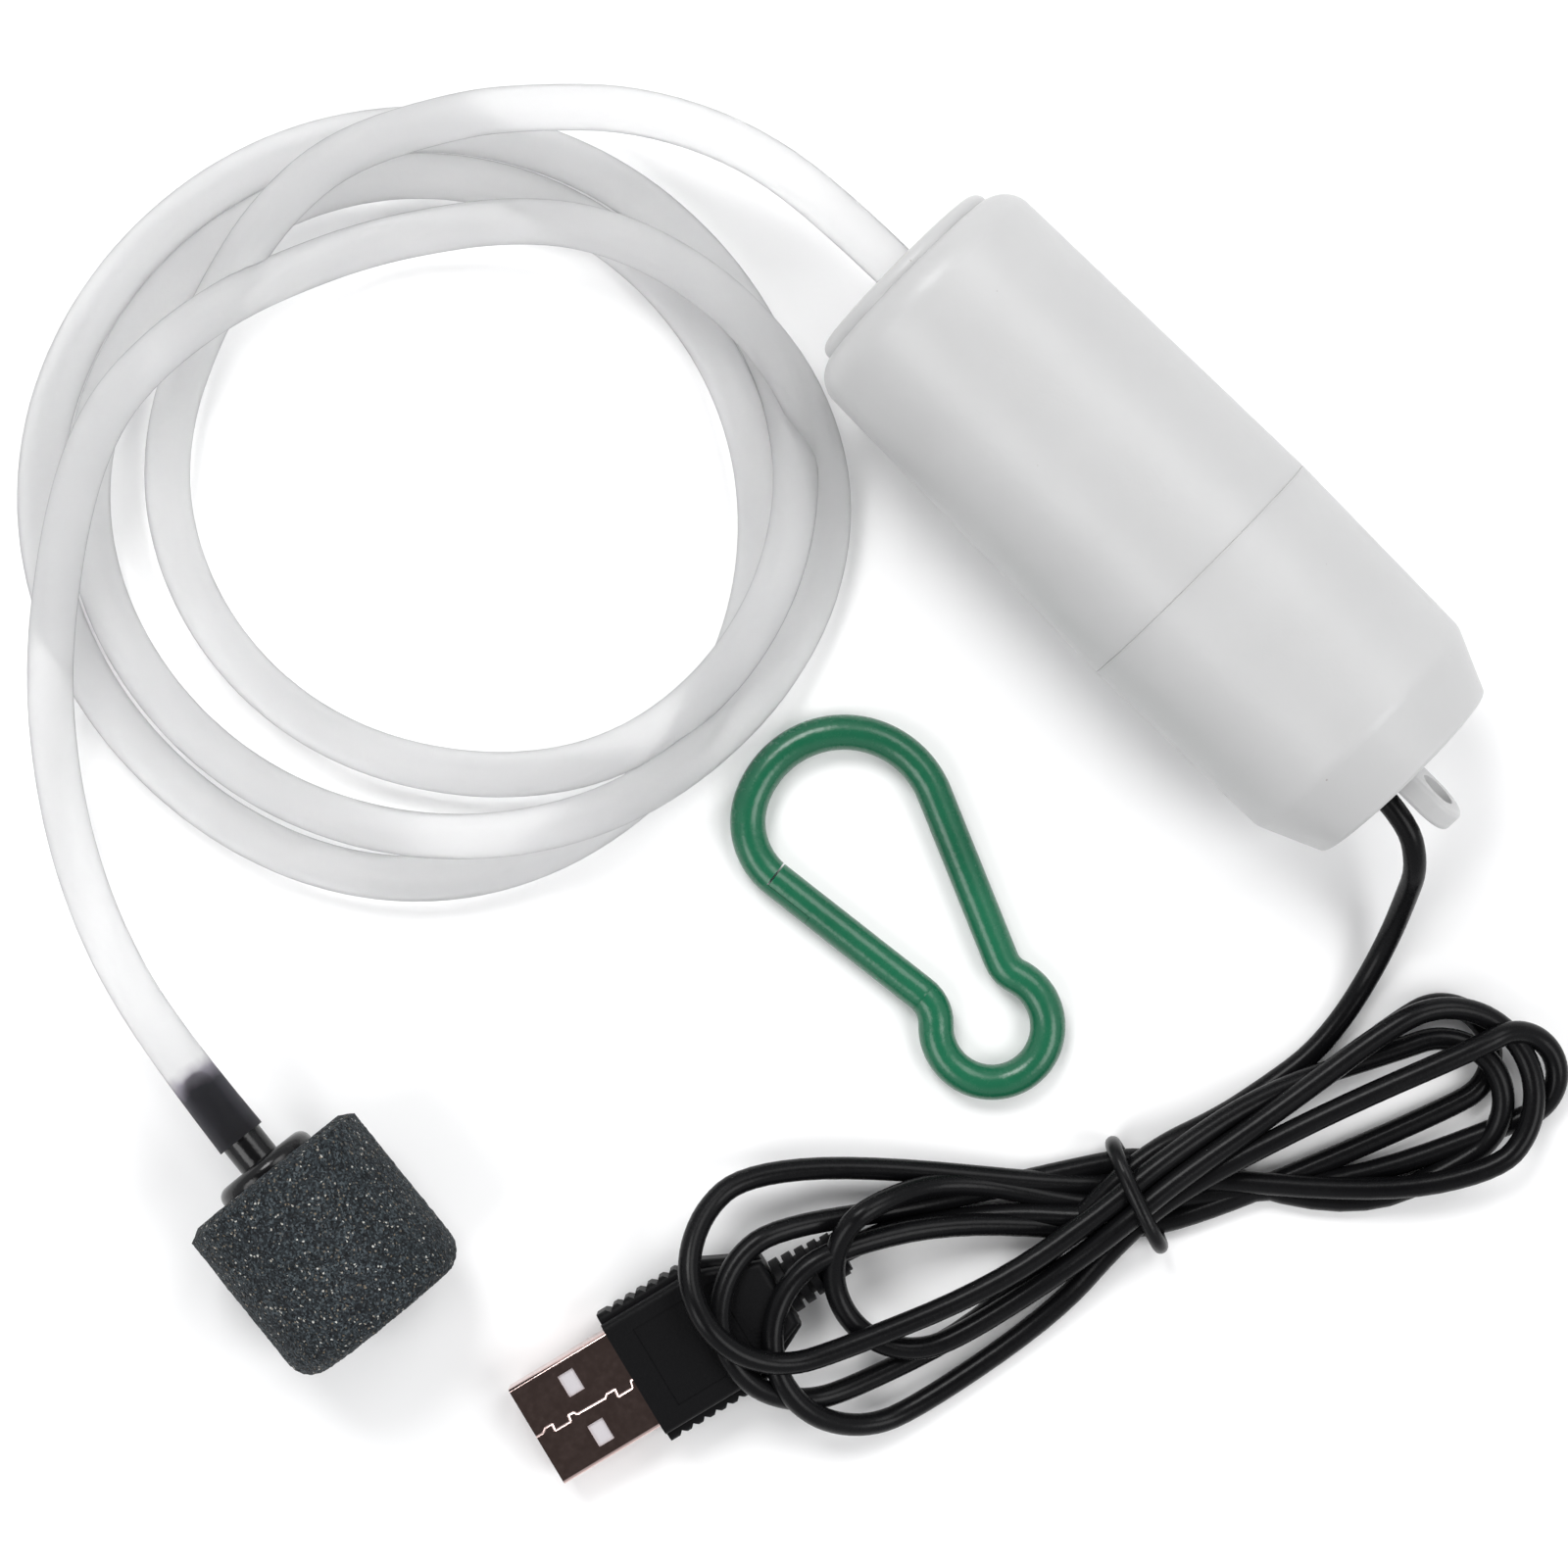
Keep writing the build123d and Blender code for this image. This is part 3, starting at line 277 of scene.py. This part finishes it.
def add_range(tree, source, low, high):
    """Map a 0..1 value onto low..high."""
    span = tree.nodes.new("ShaderNodeMapRange")
    span.inputs["To Min"].default_value = low
    span.inputs["To Max"].default_value = high
    tree.links.new(source, span.inputs["Value"])
    return span.outputs["Result"]


def add_bump(tree, bsdf, source, distance, strength=1.0):
    bump = tree.nodes.new("ShaderNodeBump")
    bump.inputs["Distance"].default_value = distance
    bump.inputs["Strength"].default_value = strength
    tree.links.new(source, bump.inputs["Height"])
    tree.links.new(bump.outputs["Normal"], bsdf.inputs["Normal"])


def add_mix(tree, first, second, blend="MIX"):
    """Mix node between two colours, each a socket or a plain colour; returns the node."""
    mix = tree.nodes.new("ShaderNodeMix")
    mix.data_type = "RGBA"
    mix.blend_type = blend
    for socket, colour in (("A", first), ("B", second)):
        if isinstance(colour, tuple):
            mix.inputs[socket].default_value = (*colour, 1)
        else:
            tree.links.new(colour, mix.inputs[socket])
    return mix


def subsurface(bsdf, weight, radius):
    bsdf.inputs["Subsurface Weight"].default_value = weight
    bsdf.inputs["Subsurface Radius"].default_value = grey(radius)
    bsdf.inputs["Subsurface Scale"].default_value = 1.0


def moulded(name, colour, roughness, grain=2500, bump=2e-5, spread=0.06, metallic=0.0,
            coat=0.0, specular=0.5):
    """Moulded, drawn or turned surface: a fine grain, slow colour drift and uneven gloss."""
    material, tree, bsdf = shader(name)
    drift = add_noise(tree, 55, 4)
    fine = add_noise(tree, grain, 3)
    darker = tuple(c * (1 - spread) for c in colour)
    lighter = tuple(min(1, c * (1 + spread)) for c in colour)
    base = add_ramp(tree, drift, [(0.3, darker), (0.7, lighter)])
    tree.links.new(base, bsdf.inputs["Base Color"])
    rough = add_range(tree, fine, max(0.02, roughness - 0.06), roughness + 0.08)
    tree.links.new(rough, bsdf.inputs["Roughness"])
    bsdf.inputs["Metallic"].default_value = metallic
    bsdf.inputs["Specular IOR Level"].default_value = specular
    bsdf.inputs["Coat Weight"].default_value = coat
    bsdf.inputs["Coat Roughness"].default_value = 0.08
    add_bump(tree, bsdf, fine, bump)
    return material


def case_material():
    """Milky satin plastic that lets a little light through, with a few dark specks."""
    material, tree, bsdf = shader("case_plastic")
    cloud = add_noise(tree, 60, 12)
    base = add_ramp(tree, cloud, [(0.3, grey(0.475)), (0.7, grey(0.505))])
    spots = add_ramp(tree, add_noise(tree, 1500, 1), [(0.83, grey(0)), (0.86, grey(1))])
    mix = add_mix(tree, base, (0.30, 0.26, 0.25))
    tree.links.new(spots, mix.inputs["Factor"])
    tree.links.new(mix.outputs["Result"], bsdf.inputs["Base Color"])
    fine = add_noise(tree, 1900, 3)
    tree.links.new(add_range(tree, fine, 0.34, 0.46), bsdf.inputs["Roughness"])
    subsurface(bsdf, 0.25, 0.004)
    add_bump(tree, bsdf, add_noise(tree, 900, 4), 3e-5)
    return material


def silicone_material():
    """Frosted milky silicone; the dark stem shows through the end stretched over it.

    The IOR is lower than real silicone's, for the flat look of a soft, cloudy tube."""
    material, tree, bsdf = shader("silicone")
    cloud = add_noise(tree, 90, 4)
    milky = add_ramp(tree, cloud, [(0.3, grey(0.84)), (0.7, grey(0.88))])
    where = tree.nodes.new("ShaderNodeTexCoord")
    reach = tree.nodes.new("ShaderNodeVectorMath")
    reach.operation = "DISTANCE"
    reach.inputs[1].default_value = STONE_END * MM
    tree.links.new(where.outputs["Object"], reach.inputs[0])
    along = tree.nodes.new("ShaderNodeMath")
    along.operation = "MULTIPLY_ADD"
    along.inputs[1].default_value = 1 / STEM_REACH
    tree.links.new(reach.outputs["Value"], along.inputs[0])
    tree.links.new(add_range(tree, add_noise(tree, 400, 2), -0.06, 0.06), along.inputs[2])
    stem = add_ramp(tree, along.outputs["Value"], [
        (0.0, (0.045, 0.045, 0.05)), (0.46, (0.06, 0.06, 0.07)),
        (0.56, (0.33, 0.31, 0.36)), (0.66, grey(1)),
    ])
    mix = add_mix(tree, milky, stem, "MULTIPLY")
    mix.inputs["Factor"].default_value = 1.0
    tree.links.new(mix.outputs["Result"], bsdf.inputs["Base Color"])
    fine = add_noise(tree, 2200, 3)
    tree.links.new(add_range(tree, fine, 0.44, 0.58), bsdf.inputs["Roughness"])
    bsdf.inputs["Transmission Weight"].default_value = 0.74
    bsdf.inputs["IOR"].default_value = 1.16
    subsurface(bsdf, 1.0, 0.012)
    add_bump(tree, bsdf, fine, 1.5e-5)
    return material


def stone_material():
    """Sintered grains, dark blue-grey with light, brown and gold specks."""
    material, tree, bsdf = shader("stone")
    where = tree.nodes.new("ShaderNodeTexCoord")
    cells = tree.nodes.new("ShaderNodeTexVoronoi")
    cells.inputs["Scale"].default_value = 5200
    tree.links.new(where.outputs["Object"], cells.inputs["Vector"])
    pick = tree.nodes.new("ShaderNodeSeparateColor")
    tree.links.new(cells.outputs["Color"], pick.inputs["Color"])
    grains = add_ramp(tree, pick.outputs["Red"], [
        (0.0, (0.003, 0.004, 0.005)),
        (0.30, (0.009, 0.011, 0.013)),
        (0.65, (0.019, 0.025, 0.029)),
        (0.95, (0.060, 0.074, 0.082)),
        (0.982, (0.13, 0.10, 0.065)),
        (0.999, (0.50, 0.50, 0.47)),
    ])
    tree.links.new(grains, bsdf.inputs["Base Color"])
    tree.links.new(add_range(tree, pick.outputs["Green"], 0.55, 0.9), bsdf.inputs["Roughness"])
    bsdf.inputs["Specular IOR Level"].default_value = 0.2
    add_bump(tree, bsdf, cells.outputs["Distance"], 0.8e-4, 0.8)
    return material


def jacket_material():
    """Black PVC cable jacket with a slow colour drift, a fine grain and uneven gloss."""
    material, tree, bsdf = shader("cable_jacket")
    drift = add_noise(tree, 70, 4)
    base = add_ramp(tree, drift, [(0.3, (0.003, 0.003, 0.0035)), (0.7, (0.006, 0.006, 0.0065))])
    tree.links.new(base, bsdf.inputs["Base Color"])
    fine = add_noise(tree, 1400, 4)
    tree.links.new(add_range(tree, fine, 0.20, 0.34), bsdf.inputs["Roughness"])
    bsdf.inputs["Specular IOR Level"].default_value = 0.13
    add_bump(tree, bsdf, fine, 1.2e-5)
    return material


# ==== Cords ================================================================================

def in_metres(place):
    return tuple(c * MM for c in place)


def round_curve(name, points, radius, material):
    """Object with one smooth spline whose control points are the route."""
    data = bpy.data.curves.new(name, "CURVE")
    data.dimensions = "3D"
    data.bevel_depth = radius * MM
    spline = data.splines.new("NURBS")
    spline.points.add(len(points) - 1)
    for place, point in zip(points, spline.points):
        point.co = (*in_metres(place), 1)
    spline.order_u = 3
    piece = bpy.data.objects.new(name, data)
    bpy.context.scene.collection.objects.link(piece)
    data.materials.append(material)
    return piece


def cord_curve(name, points, radius, material):
    """Round cord that starts and ends at the route's end points."""
    cord = round_curve(name, points, radius, material)
    cord.data.bevel_resolution = 8
    cord.data.use_fill_caps = True
    cord.data.resolution_u = 6
    cord.data.splines[0].use_endpoint_u = True
    return cord


def smooth(t):
    t = min(1.0, max(0.0, t))
    return t * t * (3 - 2 * t)


def coil_height(turn):
    """Height of the hose's centre line: on the floor, with a long hump at each crossing."""
    height = HOSE_R + HOSE_CLEARANCE
    for start, end, top in COIL_HUMPS:
        rise = smooth((turn - start) / COIL_RAMP + 1)
        fall = smooth((end - turn) / COIL_RAMP + 1)
        height = max(height, HOSE_R + (top - HOSE_R) * rise * fall)
    return height


def coil_radius(turn):
    """Smooth curve through the radii at each eighth of a turn."""
    place = turn / EIGHTH
    i = min(int(place), len(COIL_RADII) - 2)
    t = place - i
    before = COIL_RADII[max(i - 1, 0)]
    a, b = COIL_RADII[i], COIL_RADII[i + 1]
    after = COIL_RADII[min(i + 2, len(COIL_RADII) - 1)]
    slope_a, slope_b = (b - before) / 2, (after - a) / 2
    rise = b - a
    square = 3 * rise - 2 * slope_a - slope_b
    cube = slope_a + slope_b - 2 * rise
    return a + slope_a * t + square * t ** 2 + cube * t ** 3


def coil_points():
    """The hose's loose turns, from the end of its lead to the start of its tail."""
    points = []
    spread = 1 / math.cos(math.radians(COIL_STEP / 2))
    last_turn = EIGHTH * (len(COIL_RADII) - 1)
    for step in range(1, int(last_turn / COIL_STEP) + 1):
        turn = step * COIL_STEP
        angle = math.radians(COIL_START + turn)
        radius = coil_radius(turn) * spread
        x = COIL_CENTRE[0] + radius * math.cos(angle)
        y = COIL_CENTRE[1] + radius * math.sin(angle)
        points.append((x, y, coil_height(turn)))
    return points


def make_hose():
    points = HOSE_LEAD + coil_points() + HOSE_TAIL
    hose = cord_curve("air_hose", points, HOSE_R, silicone_material())
    hose.data.splines[0].points[-1].radius = STRETCH
    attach(hose, "housing")
    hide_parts("hose_lead", "hose_coil", "hose_tail")


def waist_point(along, across, height):
    turn = math.radians(WAIST_ANGLE)
    x = WAIST[0] + along * math.cos(turn) - across * math.sin(turn)
    y = WAIST[1] + along * math.sin(turn) + across * math.cos(turn)
    return (x, y, height)


def pass_points(side, slot, upper):
    """Through the tie, away from side; upper strands drift the other way from lower ones."""
    across, height = slot
    drift = PASS_DRIFT if upper else -PASS_DRIFT
    return [
        waist_point(side * PASS_HALF, across + side * drift, height),
        waist_point(-side * PASS_HALF, across - side * drift, height),
    ]


def fold_points(fold):
    """Out along one strand, round the tip, and back along the other."""
    x, y, radius = fold["tip"]
    first, last = fold["arc"]
    spread = 1 / math.cos(math.radians((last - first) / (ARC_POINTS - 1) / 2))
    reach = radius * spread
    z_first, z_mid, z_last = fold["z"]
    points = [fold["out"]]
    for step in range(ARC_POINTS):
        t = step / (ARC_POINTS - 1)
        angle = math.radians(first + (last - first) * t)
        height = z_first + (z_mid - z_first) * smooth(2 * t) + (z_last - z_mid) * smooth(2 * t - 1)
        points.append((x + reach * math.cos(angle), y + reach * math.sin(angle), height))
    points.append(fold["back"])
    return points


def cable_points():
    points = CABLE_LEAD + pass_points(-1, FIRST_PASS, True)
    side = 1
    for fold in FOLDS:
        points += fold_points(fold)
        points += pass_points(side, fold["across"], side < 0)
        side = -side
    return points + CABLE_TAIL


def make_cable():
    cable = cord_curve("usb_cable", cable_points(), CABLE_R, jacket_material())
    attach(cable, "housing")
    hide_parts("cable_lead", "cable_hank")


def make_tie():
    """Black wire bent round the waist of the hank, slightly oval."""
    points = []
    half_width = TIE_WIDTH / 2 + TIE_R
    half_height = TIE_HEIGHT / 2 + TIE_R
    for step in range(TIE_POINTS):
        angle = 2 * math.pi * step / TIE_POINTS
        c, s = math.cos(angle), math.sin(angle)
        across = half_width * math.copysign(abs(c) ** TIE_SQUARENESS, c)
        height = TIE_HEIGHT / 2 + 0.1 + half_height * math.copysign(abs(s) ** TIE_SQUARENESS, s)
        points.append(waist_point(TIE_LEAN * s, across, max(height, TIE_R)))
    rubber = moulded("tie_rubber", (0.004, 0.004, 0.0045), 0.3, specular=0.2)
    ring = round_curve("cable_tie_ring", points, TIE_R, rubber)
    ring.data.bevel_resolution = 6
    ring.data.splines[0].use_cyclic_u = True
    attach(ring, "housing")
    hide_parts("cable_tie")


# ==== Air stone ==============================================================================

def stone_outline():
    """Radius against length: chamfer at the connector's end, round edge at the other."""
    across, along = STONE_CHAMFER
    outline = [(1.8, 0.0), (4.0, 0.0), (6.5, 0.0), (STONE_R - across, 0.0), (STONE_R, along)]
    flat_to = STONE_LENGTH - STONE_ROUNDING
    band = (flat_to - along) / STONE_BANDS
    outline += [(STONE_R, along + band * step) for step in range(1, STONE_BANDS + 1)]
    for step in range(1, STONE_EDGE_STEPS + 1):
        angle = math.pi / 2 * step / STONE_EDGE_STEPS
        inward = STONE_ROUNDING * (1 - math.cos(angle))
        outline.append((STONE_R - inward, flat_to + STONE_ROUNDING * math.sin(angle)))
    outline += [(5.0, STONE_LENGTH), (2.0, STONE_LENGTH)]
    return outline


def stone_mesh():
    """Closed surface of revolution about the stone's axis."""
    mesh = bmesh.new()
    turn = STONE_AXIS.to_track_quat("Z", "Y").to_matrix()
    rings = []
    for radius, along in stone_outline():
        ring = []
        for side in range(STONE_SIDES):
            angle = 2 * math.pi * side / STONE_SIDES
            x, y = radius * math.cos(angle), radius * math.sin(angle)
            place = STONE_END + turn @ Vector((x, y, STONE_START + along))
            ring.append(mesh.verts.new(place * MM))
        rings.append(ring)
    for low, high in zip(rings, rings[1:]):
        for side in range(STONE_SIDES):
            after = (side + 1) % STONE_SIDES
            mesh.faces.new((low[side], low[after], high[after], high[side]))
    mesh.faces.new(list(reversed(rings[0])))
    mesh.faces.new(rings[-1])
    bmesh.ops.recalc_face_normals(mesh, faces=mesh.faces)
    bmesh.ops.triangulate(mesh, faces=[f for f in mesh.faces if len(f.verts) > 4])
    data = bpy.data.meshes.new("air_stone_grains")
    mesh.to_mesh(data)
    mesh.free()
    return data


def make_stone():
    stone = bpy.data.objects.new("air_stone_grains", stone_mesh())
    bpy.context.scene.collection.objects.link(stone)
    finer = stone.modifiers.new("finer", "SUBSURF")
    finer.subdivision_type = "SIMPLE"
    finer.levels = finer.render_levels = 2
    bpy.context.view_layer.objects.active = stone
    stone.select_set(True)
    bpy.ops.object.modifier_apply(modifier="finer")
    stone.select_set(False)
    roughen(stone.data)
    for face in stone.data.polygons:
        face.use_smooth = True
    stone.data.materials.append(stone_material())
    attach(stone, "housing")
    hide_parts("air_stone")


def roughen(data):
    """Push the surface in and out like packed grains, with a few pits."""
    normals = [v.normal.copy() for v in data.vertices]
    for vertex, normal in zip(data.vertices, normals):
        place = vertex.co / MM
        grain = noise.noise(place * 1.7) * 0.6 + noise.noise(place * 4.1) * 0.6
        lump = noise.noise(place * 0.35) * 0.7
        pit = min(0.0, noise.noise(place * 0.9 + Vector((7, 3, 5))) + 0.38) * 2.2
        vertex.co += normal * (grain + lump * 0.6 + pit - 0.5) * STONE_GRAIN * MM


# ==== Materials of the CAD pieces ============================================================

def slot_materials():
    return {
        "case_white": case_material(),
        "seal_rubber": moulded("seal_rubber", (0.10, 0.10, 0.10), 0.7),
        "black_rubber": moulded("black_rubber", (0.014, 0.014, 0.015), 0.5),
        "steel": moulded("steel", (0.56, 0.56, 0.57), 0.3, metallic=1.0, bump=6e-6),
        "bronze": moulded("bronze", (0.50, 0.32, 0.16), 0.35, metallic=1.0),
        "nylon_white": moulded("nylon", (0.78, 0.77, 0.72), 0.45),
        "ferrite": moulded("ferrite", (0.06, 0.06, 0.065), 0.6, grain=4000, bump=4e-5),
        "copper_core": moulded("copper_core", (0.60, 0.26, 0.12), 0.35, metallic=1.0),
        "carbon": moulded("carbon", (0.03, 0.03, 0.03), 0.6),
        "brass": moulded("brass", (0.70, 0.52, 0.24), 0.3, metallic=1.0),
        "capacitor_blue": moulded("capacitor", (0.06, 0.14, 0.38), 0.3, coat=0.4),
        "wire_red_pvc": moulded("wire_red", (0.45, 0.02, 0.02), 0.35),
        "wire_black_pvc": moulded("wire_black", (0.015, 0.015, 0.016), 0.35),
        "foam": moulded("foam", (0.10, 0.10, 0.11), 0.95, grain=900, bump=4e-4),
        "pump_black": moulded("pump_black", (0.03, 0.03, 0.032), 0.45),
        "diaphragm_rubber": moulded("diaphragm_rubber", (0.04, 0.04, 0.042), 0.6),
        "stem_black": moulded("stem_black", (0.006, 0.006, 0.0065), 0.18, specular=0.35),
        "cable_black": moulded("overmould", (0.0035, 0.0035, 0.004), 0.46, grain=3200,
                               bump=4e-5, specular=0.10),
        "nickel": moulded("nickel", (0.66, 0.50, 0.47), 0.12, metallic=1.0, grain=1500, bump=3e-6),
        "tongue_white": moulded("tongue_white", (0.50, 0.48, 0.50), 0.4),
        "gold": moulded("gold", (0.85, 0.62, 0.25), 0.25, metallic=1.0),
        "green_paint": moulded("green_paint", (0.008, 0.108, 0.052), 0.25, grain=1400,
                               bump=3e-5, spread=0.18),
        "silicone": moulded("silicone_solid", (0.8, 0.8, 0.8), 0.4),
        "stone": moulded("stone_solid", (0.06, 0.07, 0.08), 0.8),
    }


def finish_cad_nodes():
    """Give every CAD node the material of its slot."""
    materials = slot_materials()
    for part in frame["record"]["subparts"]:
        node = frame["nodes"][part["node"]]
        node.data.materials.clear()
        node.data.materials.append(materials[part["material_slot"]])


make_camera()
make_floor()
make_light()
finish_cad_nodes()
make_stone()
make_tie()
make_hose()
make_cable()
